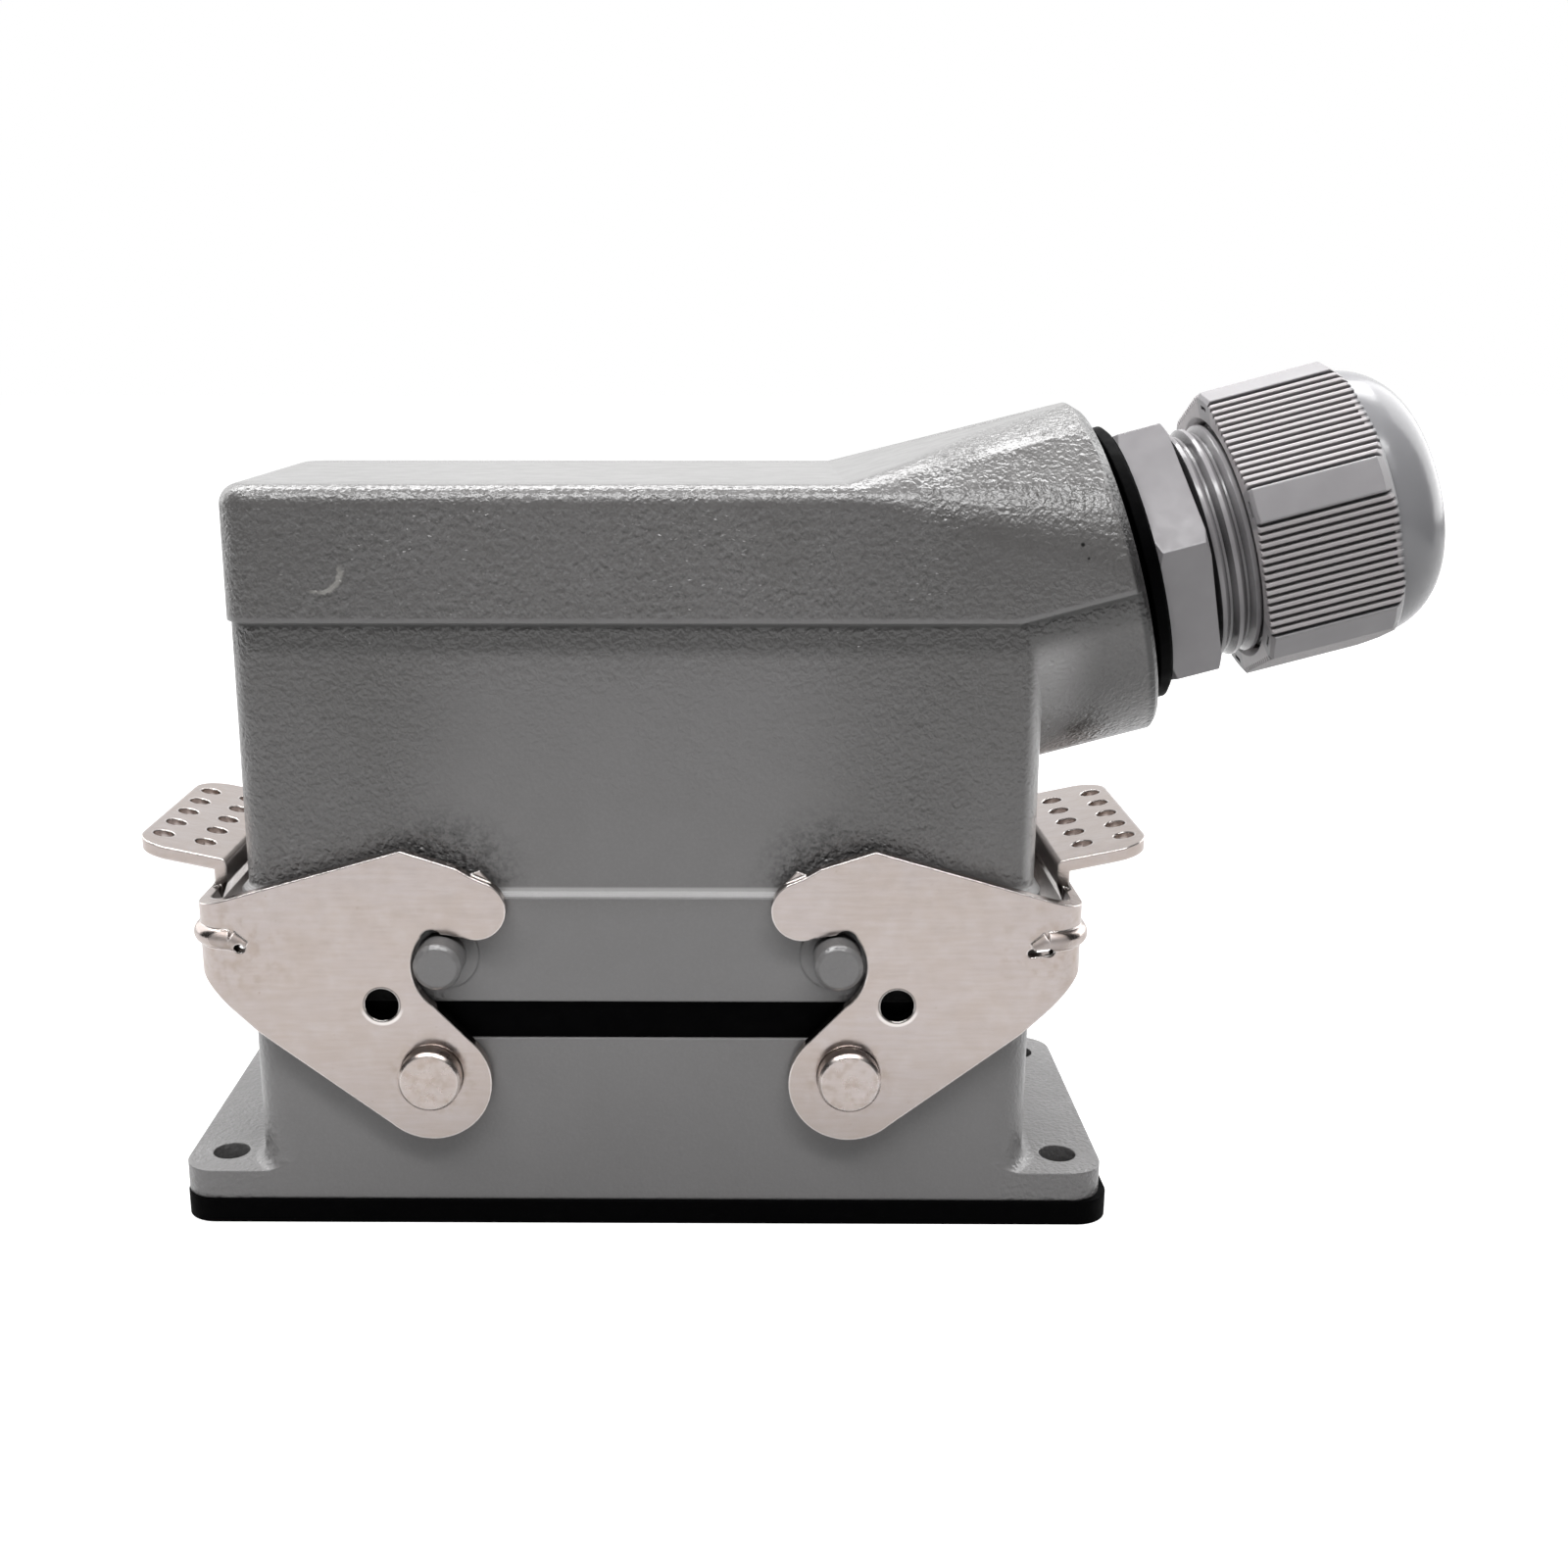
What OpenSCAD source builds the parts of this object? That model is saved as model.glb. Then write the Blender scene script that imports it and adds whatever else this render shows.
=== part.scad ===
/* [Mounting flange] */
// Hole spacing along the flange
hole_pitch_x = 103; // [98:0.5:105]
// Hole spacing across the flange
hole_pitch_y = 32; // [28:0.5:33]
// Diameter of the four mounting holes
hole_d = 4.5; // [3.5:0.1:5.5]
// Distance from the holes to the ends of the flange
flange_end = 4.9; // [4:0.1:8]
// Thickness of the flange
flange_t = 3.6; // [2.5:0.1:5]
// Corner radius of the flange
flange_r = 4; // [2:0.5:5]
// Thickness of the gasket under the flange
gasket_t = 3; // [1.5:0.1:4]
// How far the gasket stands out past the flange
gasket_lip = 0.4; // [0:0.1:1]
// How far the gasket lies off the middle, towards the cable entry
gasket_shift = 0.4; // [-1:0.1:1]

/* [Lower housing] */
// Width over the flange, the housing and the hood skirt
body_w = 43; // [42:0.2:46]
// Distance from the mounting holes to the housing's end walls
hole_out = 4.6; // [4:0.1:6]
// Height of the walls above the flange
housing_h = 17.5; // [16:0.5:22]
// Corner radius of the walls
housing_r = 5; // [3:0.5:5.5]
// Wall thickness
housing_wall = 3; // [2:0.1:3.2]
// Width of the rim beside the collar
rim_w = 2.8; // [2.6:0.1:3.4]
// Width of the rim at the collar's ends
rim_end = 2.5; // [2.4:0.1:3.2]
// Height of the inner collar above the rim
collar_h = 11; // [7:0.5:12]
// Wall thickness of the collar
collar_wall = 1.7; // [1.2:0.1:1.9]
// Radius of the fillet where the end walls meet the flange
foot_r = 1.6; // [0.5:0.1:2]

/* [Interface seal] */
// Height of the seal that shows between housing and hood
seal_h = 4.7; // [3:0.1:6]
// How far the seal is set back from the walls
seal_inset = 0.4; // [0:0.1:1]

/* [Hood] */
// Height of the hood
hood_h = 60.5; // [60:0.5:66]
// Height of the skirt
skirt_h = 13.2; // [11:0.2:14]
// How far the skirt stands out past the housing's end walls
skirt_over = 0.7; // [0:0.1:1]
// Width of the sloping ledge on top of the skirt
ledge_w = 0.75; // [0.5:0.05:1]
// Height of the parting line above the hood's lower edge
band_up = 45.1; // [44:0.1:46]
// How far the hood stands out above the parting line
band_step = 0.4; // [0.2:0.1:0.6]
// Vertical corner radius of the hood
hood_r = 4.6; // [3:0.1:6]
// Radius of the top edges
edge_r = 2.4; // [1:0.1:3]
// Wall thickness of the hood
hood_wall = 2.6; // [2:0.1:3]

/* [Angled cable entry] */
// Upward tilt of the cable entry
boss_tilt = 15; // [12:1:18]
// How far inside the hood's end the entry's axis crosses the parting line
boss_back = 3.45; // [2:0.05:4.5]
// Length of the entry along its axis
boss_len = 14.4; // [13:0.2:18]
// How far the entry's lower half lies inside the hood's sides
boss_inset = 0.45; // [0.2:0.05:1]
// Where the sloping top of the entry begins
loft_x = 25.5; // [20:0.5:30]

/* [Locking levers] */
// Distance of each pivot from the middle
pivot_x = 24.75; // [23:0.25:26]
// Height of the pivots above the flange's lower face
pivot_up = 17.2; // [16:0.1:18]
// Radius of the pivot pins
pin_r = 3.7; // [3:0.05:4]
// Running clearance between pin and lever
pin_gap = 0.08; // [0.03:0.01:0.1]
// How far the pins stand out past the lever
pin_out = 2.4; // [1:0.1:3]
// Thickness of the lever sheet
lever_t = 1.5; // [1.2:0.1:1.6]
// Gap between the hood skirt and the lever
lever_gap = 0.45; // [0.4:0.05:0.8]
// Gap between the hood skirt's end and the lever's cross bridge
bridge_gap = 3.1; // [2.8:0.1:5]
// Radius of the lever's bent corners
bend_r = 4.5; // [3:0.1:6]
// Width of the finger tab
tab_w = 30.2; // [24:0.2:34]
// Length of the finger tab past the bridge
tab_reach = 8.8; // [7:0.2:12]
// Upward tilt of the finger tab
tab_tilt = 12; // [5:1:20]
// Diameter of the holes in the finger tab
tab_hole_d = 2.6; // [1.5:0.1:3]
// Radius of the locking pegs
peg_r = 2.8; // [2.4:0.1:3]
// Distance of the locking pegs from the middle
peg_x = 23.2; // [23:0.1:23.6]
// Height of the locking pegs above the hood's lower edge
peg_up = 5.9; // [5.5:0.1:6.2]
// How far the pegs stand out past the lever
peg_out = 3; // [1:0.1:4]
// Clearance between hook and peg
hook_gap = 0.3; // [0.2:0.05:0.6]

/* [Contact inserts] */
// Contacts in each row
contacts = 8; // [4:1:8]
// Distance of the contact rows from the sides of the mating block
contact_side = 4.6; // [4.3:0.1:5]
// Diameter of the contact pins
contact_d = 2.5; // [2:0.1:3]
// Gap between the inserts and the collar
insert_gap = 0.5; // [0.3:0.05:0.6]
// Distance of the insert screws from the insert's ends
screw_end = 3.45; // [3.4:0.05:3.6]
// Distance of the insert screws from the insert's sides
screw_side = 3; // [2.9:0.05:3.2]

/* [Cable gland] */
// Radius of the entry thread
thread_r = 14.1; // [13:0.1:14.4]
// How far the sealing washer stands out past the thread
washer_out = 2.9; // [2:0.1:3.5]
// Thickness of the sealing washer
washer_t = 2.8; // [1.5:0.1:3]
// How far the flats of the body's hexagon stand out past the thread
body_out = 0.8; // [0.5:0.1:2]
// Length of the gland body's hexagon
hex_len = 5.9; // [5:0.1:8]
// How far the flats of the nut stand out past the thread
nut_out = 2.4; // [2:0.1:4]
// Width of the plain band on each corner of the nut
nut_band = 3.8; // [2:0.1:5]
// Gap between the hexagon and the nut
neck_show = 5.4; // [2:0.1:6.5]
// Length of the nut's ribbed part
nut_len = 15.9; // [13:0.1:18]
// Length of the nut's dome
dome_len = 7.5; // [7:0.1:10]
// Grooves on each face of the nut
nut_grooves = 15; // [8:1:16]
// Depth of the nut's grooves
groove_depth = 0.6; // [0.2:0.05:0.8]
// Length of the small slot at each corner of the nut's rear face
slot_len = 1.9; // [1.4:0.1:2.2]
// How far the nut's cable opening lies inside the thread
mouth_in = 4.3; // [3.5:0.1:5]
// Thickness of the gland's seal
seal_t = 2.3; // [1.5:0.1:3]
// Thickness of the gland body's wall inside the thread
gland_wall = 3.9; // [3:0.1:4.5]

/* [Hidden] */
$fn = 64;

// Overshoot of a cut past the face it leaves through
cut = 1;
// Clearance of a part that is pressed in or rests in its seat
seat = 0.03;
paint = "#7f8284";
nickel = "#c9c1ba";

// Lengths and widths that follow from the hole pattern and the body
housing_l = hole_pitch_x - 2 * hole_out;
flange_l = hole_pitch_x + 2 * flange_end;
skirt_l = housing_l + 2 * skirt_over;
hood_l = skirt_l - 2 * ledge_w;
hood_w = body_w - 2 * ledge_w;
boss_x = hood_l / 2 - boss_back;
boss_r = hood_w / 2 - boss_inset;
bridge_x = skirt_l / 2 + bridge_gap + lever_t;

// Heights of the stack, from the panel upwards
flange_top = gasket_t + flange_t;
rim_z = flange_top + housing_h;
skirt_z = rim_z + seal_h;
ledge_z = skirt_z + skirt_h;
band_z = skirt_z + band_up;
hood_top = skirt_z + hood_h;
pivot_z = gasket_t + pivot_up;
peg_z = skirt_z + peg_up;

// Collar of the housing and the bay for the inserts
ear_t = 3;
collar_l = housing_l - 2 * rim_end;
collar_w = body_w - 2 * rim_w;
collar_r = 2.6;
bay_l = collar_l - 2 * collar_wall;
bay_w = collar_w - 2 * collar_wall;
insert_l = bay_l - 2 * insert_gap;
insert_w = bay_w - 2 * insert_gap;
screw_pitch_x = insert_l - 2 * screw_end;
screw_pitch_y = insert_w - 2 * screw_side;
bay_r = 1.2;
lug_in = 3.6;
female_z = flange_top + 10.4;
lug_top = female_z - ear_t;
female_plug = 16;
mate_gap = 0.3;
male_face = female_z + female_plug + mate_gap;
shroud_len = 21;
shroud_face = 9.7;
male_z = male_face + shroud_face;

// Hood sections
skirt_gap = 0.4;
skirt_in_l = collar_l + 2 * skirt_gap;
skirt_in_w = collar_w + 2 * skirt_gap;
band_l = hood_l + 2 * band_step;
band_w = hood_w + 2 * band_step;
cavity_l = hood_l - 2 * hood_wall;
cavity_w = hood_w - 2 * hood_wall;
throat_r = boss_r - 3;
throat_len = 3;
entry_root = 20;
boss_top_r = boss_r + band_step + 0.2;
washer_r = thread_r + washer_out;
body_af = 2 * (thread_r + body_out);
nut_af = 2 * (thread_r + nut_out);
nut_mouth_r = thread_r - mouth_in;
bore_r = thread_r - gland_wall;
pocket_r = bore_r + 0.6;
cable_r = pocket_r - seal_t;

// Lever layers, seen from the middle outwards
lever_in = body_w / 2 + lever_gap;
lever_out = lever_in + lever_t;
pin_face = lever_out + pin_out;
peg_face = lever_out + peg_out;

// Stations along the gland's axis, from where it crosses the parting line
washer_s = boss_len;
hex_s = washer_s + washer_t;
neck_s = hex_s + hex_len;
nut_s = neck_s + neck_show;
dome_s = nut_s + nut_len;
nut_end = dome_s + dome_len;
claw_s = nut_s + 9.5;
claw_end = dome_s - 0.5;
seal_s = nut_s + 2.5;

// Places of the contacts and screws in an insert
function contact_xs() = [for (i = [0 : contacts - 1]) (i - (contacts - 1) / 2) * contact_pitch];

// Point where a line from p touches a circle at c, on the side given by turn
function touch(p, c, r, turn) =
    let (d = norm(p - c), a = atan2(p[1] - c[1], p[0] - c[0]), b = acos(r / d))
    c + r * [cos(a + turn * b), sin(a + turn * b)];

// Rounded rectangle about the origin
module rounded(l, w, r) {
    square([l - 2 * r, w], center = true);
    square([l, w - 2 * r], center = true);
    for (sx = [-1, 1], sy = [-1, 1])
        translate([sx * (l / 2 - r), sy * (w / 2 - r)]) circle(r);
}

module slab(l, w, r, z0, z1) {
    translate([0, 0, z0]) linear_extrude(z1 - z0) rounded(l, w, r);
}

// Upright profile of width b and height h with two round top corners
module arch(b, h, r) {
    translate([-b / 2, 0]) square([b, h - r]);
    translate([r - b / 2, 0]) square([b - 2 * r, h]);
    for (s = [-1, 1]) translate([s * (b / 2 - r), h - r]) circle(r);
}

// Block with round upright corners and round top edges
module soft_block(l, w, h, rc, re) {
    translate([rc - l / 2, 0, 0]) rotate([90, 0, 90]) linear_extrude(l - 2 * rc) arch(w, h, re);
    translate([0, w / 2 - rc, 0]) rotate([90, 0, 0]) linear_extrude(w - 2 * rc) arch(l, h, re);
    for (sx = [-1, 1], sy = [-1, 1])
        translate([sx * (l / 2 - rc), sy * (w / 2 - rc), 0]) rotate_extrude()
            intersection() {
                arch(2 * rc, h, re);
                square([rc, h]);
            }
}

// Frame of the angled entry: +Z runs out along its axis and -X points up
module entry_frame() {
    translate([boss_x, 0, band_z]) rotate([0, 90 - boss_tilt, 0]) children();
}

// Copies at the four mounting holes, insert screws or pegs
module at_corners(dx, dy) {
    for (sx = [-1, 1], sy = [-1, 1]) translate([sx * dx / 2, sy * dy / 2, 0]) children();
}

// The first quarter's drawing turned over into another quarter
module in_quarter(sx, sy) {
    mirror([sx < 0 ? 1 : 0, 0, 0]) mirror([0, sy < 0 ? 1 : 0, 0]) children();
}

module tube(r_out, r_in, z0, z1) {
    translate([0, 0, z0]) difference() {
        cylinder(h = z1 - z0, r = r_out);
        translate([0, 0, -cut]) cylinder(h = z1 - z0 + 2 * cut, r = r_in);
    }
}

module mounting_gasket() {
    color("#191a1b") difference() {
        translate([gasket_shift, 0, 0])
            slab(flange_l + 2 * gasket_lip, body_w + 2 * gasket_lip, flange_r, 0, gasket_t);
        slab(bay_l, bay_w, bay_r, -cut, gasket_t + cut);
        at_corners(hole_pitch_x, hole_pitch_y)
            translate([0, 0, -cut]) cylinder(h = gasket_t + 2 * cut, d = hole_d);
    }
}

// Concave fillet in the corner of two walls
module cove(r) {
    difference() {
        square([r, r]);
        translate([r, r]) circle(r);
    }
}

// Coves along one end wall and round its two corners
module end_foot() {
    straight = body_w - 2 * housing_r;
    translate([housing_l / 2, straight / 2, flange_top]) rotate([90, 0, 0])
        linear_extrude(straight) cove(foot_r);
    for (s = [-1, 1])
        translate([housing_l / 2 - housing_r, s * straight / 2, flange_top])
            rotate([0, 0, s > 0 ? 0 : -90]) rotate_extrude(angle = 90)
                translate([housing_r, 0]) cove(foot_r);
}

module bulkhead_housing() {
    color(paint) difference() {
        union() {
            slab(flange_l, body_w, flange_r, gasket_t, flange_top);
            slab(housing_l, body_w, housing_r, flange_top - cut, rim_z);
            slab(collar_l, collar_w, collar_r, rim_z - cut, rim_z + collar_h);
            intersection() {
                union() {
                    end_foot();
                    mirror([1, 0, 0]) end_foot();
                }
                slab(flange_l, body_w, flange_r, gasket_t, rim_z);
            }
        }
        difference() {
            union() {
                slab(housing_l - 2 * housing_wall, body_w - 2 * housing_wall - 1, 2,
                    gasket_t - cut, lug_top - 2);
                slab(bay_l, bay_w, bay_r, lug_top - 3, rim_z + collar_h + cut);
            }
            for (sx = [-1, 1], sy = [-1, 1])
                in_quarter(sx, sy)
                    translate([screw_pitch_x / 2 - lug_in, screw_pitch_y / 2 - lug_in, flange_top])
                    cube([(bay_l - screw_pitch_x) / 2 + lug_in + 1,
                        (bay_w - screw_pitch_y) / 2 + lug_in + 1,
                        lug_top - flange_top]);
        }
        slab(bay_l, bay_w, bay_r, gasket_t - cut, gasket_t + 1.5);
        at_corners(hole_pitch_x, hole_pitch_y)
            translate([0, 0, gasket_t - cut]) cylinder(h = flange_t + 2 * cut, d = hole_d);
        at_corners(screw_pitch_x, screw_pitch_y)
            translate([0, 0, flange_top - cut])
                cylinder(h = lug_top - flange_top + 2 * cut, r = screw_r + seat);
        for (sx = [-1, 1], sy = [-1, 1])
            translate([sx * pivot_x, sy * body_w / 2, pivot_z]) rotate([90, 0, 0])
                cylinder(h = 2 * (tail_len + seat), r = tail_r + seat, center = true);
    }
}

module interface_seal() {
    color("#141516") difference() {
        slab(housing_l - 2 * seal_inset, body_w - 2 * seal_inset, housing_r - seal_inset,
            rim_z, skirt_z);
        slab(collar_l + 2 * seat, collar_w + 2 * seat, collar_r + seat, rim_z - cut, skirt_z + cut);
    }
}

// Skirt with a sloping ledge: two blocks and the 45 degree band between them
module hood_skirt() {
    steps = 4;
    slab(skirt_l, body_w, housing_r, skirt_z, ledge_z - ledge_w / 2);
    for (i = [1 : steps]) {
        f = i / steps;
        slab(skirt_l - 2 * f * ledge_w, body_w - 2 * f * ledge_w, housing_r - f * (housing_r - hood_r),
            ledge_z - ledge_w, ledge_z - ledge_w / 2 + f * ledge_w);
    }
}

// End outline of the entry above its axis, with a flat facet on each shoulder
module entry_arc() {
    facet_low = 36;
    facet_high = 60;
    turns = concat([for (a = [0 : 4 : facet_low]) a], [for (a = [facet_high : 4 : 180 - facet_high]) a],
        [for (a = [180 - facet_low : 4 : 180]) a]);
    rotate([0, 0, 90]) polygon([for (a = turns) boss_top_r * [cos(a), sin(a)]]);
}

// Upper half of the entry, drawn from the hood's section to the round end
module entry_loft() {
    skin = 0.02;
    hull() {
        translate([loft_x - 2, 0, band_z - skin]) rotate([90, 0, 90]) linear_extrude(2)
            arch(band_w - 2 * skin, hood_top - band_z, edge_r, $fn = 40);
        translate([boss_x - skin, 0, band_z + edge_r / 2 - skin])
            cube([skin, band_w - band_step, edge_r], center = true);
        entry_frame() translate([0, 0, boss_len]) linear_extrude(0.5) entry_arc();
    }
}

module hood_outside() {
    hood_skirt();
    slab(hood_l, hood_w, hood_r, ledge_z - ledge_w, band_z);
    intersection() {
        translate([0, 0, band_z]) soft_block(band_l, band_w, hood_top - band_z, hood_r, edge_r);
        translate([-band_l, -band_w, 0]) cube([band_l + loft_x, 2 * band_w, 2 * hood_top]);
    }
    entry_loft();
    entry_frame() {
        rotate([0, 0, -90]) rotate_extrude(angle = 180) translate([0, -entry_root])
            square([boss_r, boss_len + entry_root + 0.5]);
        translate([0, 0, 2 - entry_root]) cylinder(h = boss_len + entry_root - 1.5, r = boss_r - 1.5);
    }
    for (sx = [-1, 1], sy = [-1, 1])
        translate([sx * peg_x, 0, peg_z]) rotate([90, 0, sy > 0 ? 180 : 0]) peg();
}

// Peg of the hood with its low root boss, standing out along +Z
module peg() {
    root = body_w / 2;
    chamfer = 0.5;
    translate([0, 0, root - 1]) cylinder(h = 1.2, r = peg_r + 1.5);
    translate([0, 0, root - 1]) cylinder(h = peg_face - chamfer - root + 1, r = peg_r);
    translate([0, 0, peg_face - chamfer]) cylinder(h = chamfer, r1 = peg_r, r2 = peg_r - chamfer);
}

module hood() {
    color(paint) difference() {
        hood_outside();
        difference() {
            union() {
                slab(skirt_in_l, skirt_in_w, collar_r + skirt_gap, skirt_z - cut, rim_z + collar_h + 2);
                slab(cavity_l, cavity_w, hood_r - hood_wall, rim_z + collar_h + 1, hood_top - hood_wall);
                entry_frame() translate([0, 0, -entry_root - 2])
                    cylinder(h = entry_root + 2 + throat_len, r = throat_r);
            }
            for (sx = [-1, 1], sy = [-1, 1])
                in_quarter(sx, sy)
                    translate([screw_pitch_x / 2 - lug_in, screw_pitch_y / 2 - lug_in, male_z + ear_t])
                    cube([(cavity_l - screw_pitch_x) / 2 + lug_in + 1,
                        (cavity_w - screw_pitch_y) / 2 + lug_in + 1, hood_lug_h]);
        }
        entry_frame() translate([0, 0, boss_len + edge_r])
            cube([3 * boss_r, 3 * boss_r, 2 * edge_r], center = true);
        entry_frame() translate([0, 0, throat_len - cut])
            cylinder(h = boss_len - throat_len + 2 * cut, r = thread_r + seat);
        entry_frame() rotate_extrude()
            polygon([[boss_r - 0.5, boss_len + 0.01], [boss_r + 3, boss_len + 0.01],
                [boss_r + 3, boss_len - 3.5]]);
        at_corners(screw_pitch_x, screw_pitch_y)
            translate([0, 0, male_z + ear_t - cut]) cylinder(h = hood_lug_h - 1, r = screw_r + seat);
    }
}

// Pivot pin along +Z: pressed tail, shoulder against the wall and bearing length
tail_r = 2.4;
tail_len = 3.4;
shoulder = 0.3;
module pivot_pin(sx, sy) {
    wall = body_w / 2;
    chamfer = 0.35;
    color(nickel) translate([sx * pivot_x, 0, pivot_z]) rotate([90, 0, sy > 0 ? 180 : 0]) {
        translate([0, 0, wall - tail_len]) cylinder(h = tail_len + 0.1, r = tail_r);
        translate([0, 0, wall]) cylinder(h = shoulder, r = pin_r + 1);
        translate([0, 0, wall]) cylinder(h = pin_face - chamfer - wall, r = pin_r);
        translate([0, 0, pin_face - chamfer]) cylinder(h = chamfer, r1 = pin_r, r2 = pin_r - chamfer);
    }
}

module pivot_pin_front_left() { pivot_pin(-1, -1); }
module pivot_pin_front_right() { pivot_pin(1, -1); }
module pivot_pin_rear_left() { pivot_pin(-1, 1); }
module pivot_pin_rear_right() { pivot_pin(1, 1); }

// The lever is drawn about its pivot, with +X towards the middle of the hood.
// Outline of a side plate: arm round the pivot, body, hook and slot for the peg
bridge_u = pivot_x - bridge_x;
peg_at = [pivot_x - peg_x, peg_z - pivot_z];
arm_r = 7.2;
arm_c = [-0.1, -1.05];
// The plate's straight edges end just inside the arm's circle
arm_in = arm_r - 0.04;
// The hook's lower edge clears the circle that the peg's far side draws
hook_r = norm(peg_at) + peg_r + hook_gap;
nose_r = 3.6;
nose_c = (hook_r + nose_r) * [sin(15.6), cos(15.6)];
wall_r = 6;
wall_c = peg_at + [2.5, -1];
bridge_low = 12.4;
bridge_top = 20.5;
module side_plate() {
    low_corner = [-20.2, 5.3];
    apex = [-2.65, 27.65];
    arm_top = [-0.9, 10.15];
    arm_low = touch(arm_top, arm_c, arm_in, -1);
    arm_mid = arm_top + 0.85 * (arm_low - arm_top);
    difference() {
        union() {
            translate(arm_c) circle(arm_r);
            translate(nose_c) circle(nose_r);
            polygon([arm_top, arm_low, arm_c, touch(low_corner, arm_c, arm_in, 1), low_corner,
                [bridge_u, bridge_low], [bridge_u, bridge_top], apex, [3.65, 25.6], [5.4, 24.55],
                nose_c + nose_r * [cos(60), sin(60)], nose_c, [3, 15], arm_top + [1, 1]]);
        }
        intersection() {
            circle(hook_r);
            union() {
                translate(wall_c) circle(wall_r);
                polygon([arm_top, arm_mid, arm_low + [12, 1], wall_c + [12, 9], wall_c + [0, 9], wall_c]);
            }
        }
        translate(peg_at + [-0.95, 2.25]) circle(1.4);
        circle(pin_r + pin_gap);
        translate([-5.55, 8.85]) circle(2);
    }
}

// Thin barb on the back of the hook
module barb() {
    polygon([[4.2, 23.2], [5.2, 24.65], [6.35, 25.1], [7.85, 23.45], [8.5, 21.5], [6, 21]]);
}

// Bent sheet through a list of points, with round bends
module bent_sheet(path, t) {
    for (i = [0 : len(path) - 2]) {
        step = path[i + 1] - path[i];
        translate(path[i]) rotate([0, 0, atan2(step[1], step[0])])
            translate([0, -t / 2]) square([norm(step), t]);
    }
    for (i = [1 : len(path) - 2]) translate(path[i]) circle(t / 2);
}

// Bead pressed round the bent corners and across the bridge
bead_z = 16.9;
bead_r = 1.3;
bead_out = 0.8;
pit_z = 15.9;
module bead() {
    bend_c = [bridge_u + bend_r, lever_out - bend_r];
    run = 1.7;
    for (s = [-1, 1]) {
        translate([bend_c[0], s * bend_c[1], bead_z]) rotate([0, 0, s > 0 ? 90 : 180])
            rotate_extrude(angle = 90) translate([bend_r + bead_out - bead_r, 0]) circle(bead_r);
        translate([bend_c[0] - 0.05, s * (lever_out + bead_out - bead_r), bead_z])
            rotate([0, 90 + atan2(bead_z - pit_z, run), 0])
                cylinder(h = run + 0.3, r1 = bead_r, r2 = bead_r * 0.75);
    }
    translate([bridge_u - bead_out + bead_r, 0, bead_z]) rotate([90, 0, 0])
        cylinder(h = 2 * bend_c[1], r = bead_r, center = true);
}

module lever() {
    tip = bridge_u - tab_reach;
    root = [bridge_u + 1.5, 23.5];
    tab_path = [[bridge_u + lever_t / 2, bead_z + 1], [bridge_u + lever_t / 2, bead_z + 2.4],
        [root[0], 21.3], root, [tip - 1, root[1] + (root[0] - tip + 1) * tan(tab_tilt)]];
    tab_len = root[0] - tip;
    difference() {
        union() {
            intersection() {
                linear_extrude(60, center = true) difference() {
                    translate([bridge_u + 40, 0]) rounded(80, 2 * lever_out, bend_r);
                    translate([bridge_u + lever_t + 40, 0]) rounded(80, 2 * lever_in, bend_r - lever_t);
                }
                rotate([90, 0, 0]) linear_extrude(60, center = true) side_plate();
            }
            for (s = [-1, 1]) translate([0, s * (lever_in + 0.3), 0]) rotate([90, 0, 0])
                linear_extrude(0.6, center = true) barb();
            difference() {
                bead();
                translate([bridge_u + 40 + lever_t / 2, 0, 0])
                    linear_extrude(60, center = true)
                        rounded(80, 2 * lever_out - lever_t, bend_r - lever_t / 2);
            }
            intersection() {
                rotate([90, 0, 0]) linear_extrude(tab_w, center = true) bent_sheet(tab_path, lever_t);
                linear_extrude(60) translate([tip + 20, 0]) rounded(40, tab_w, 4);
            }
        }
        for (i = [-2 : 2], row = [0.31, 0.8])
            translate([root[0] - row * tab_len, i * 5.1, root[1] + row * tab_len * tan(tab_tilt)])
                rotate([0, tab_tilt, 0]) cylinder(h = 6, d = tab_hole_d, center = true);
        translate([bridge_u + bend_r + 1.1, -lever_in, pit_z]) rotate([90, 0, 0])
            cylinder(h = 6, r = 0.6, center = true);
        translate([bridge_u + bend_r - 0.1, lever_in, pit_z - 0.2]) rotate([90, 8, 0])
            linear_extrude(6, center = true) {
                translate([1, 0]) square([2, 1], center = true);
                for (u = [0, 2]) translate([u, 0]) circle(0.5);
            }
    }
}

module locking_lever_left() {
    color(nickel) translate([-pivot_x, 0, pivot_z]) lever();
}

module locking_lever_right() {
    color(nickel) rotate([0, 0, 180]) translate([-pivot_x, 0, pivot_z]) lever();
}

// Inserts are drawn with their mating side up and the ears' mating face at zero
screw_r = 2;
hood_lug_h = 9;
term_w = 5.4;
term_d = 7;
term_h = 8;
female_term = -8.6;
male_term = -14.6;
shroud_wall = 2.1;
tongue_gap = 1.5;
tongue_in = 2.75;
block_l = screw_pitch_x - 2 * (tongue_in + tongue_gap);
plug_l = block_l - 3.8;
plug_w = insert_w - 9.8;
contact_pitch = (plug_l - 4.4) / contacts;
contact_row = plug_w / 2 - contact_side;
core_r = 1.9;
module female_place() { translate([0, 0, female_z]) children(); }
module male_place() { translate([0, 0, male_z]) mirror([0, 0, 1]) children(); }
module at_contacts() {
    for (x = contact_xs(), s = [-1, 1]) translate([x, s * contact_row, 0])
        mirror([0, s < 0 ? 1 : 0, 0]) children();
}

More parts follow.
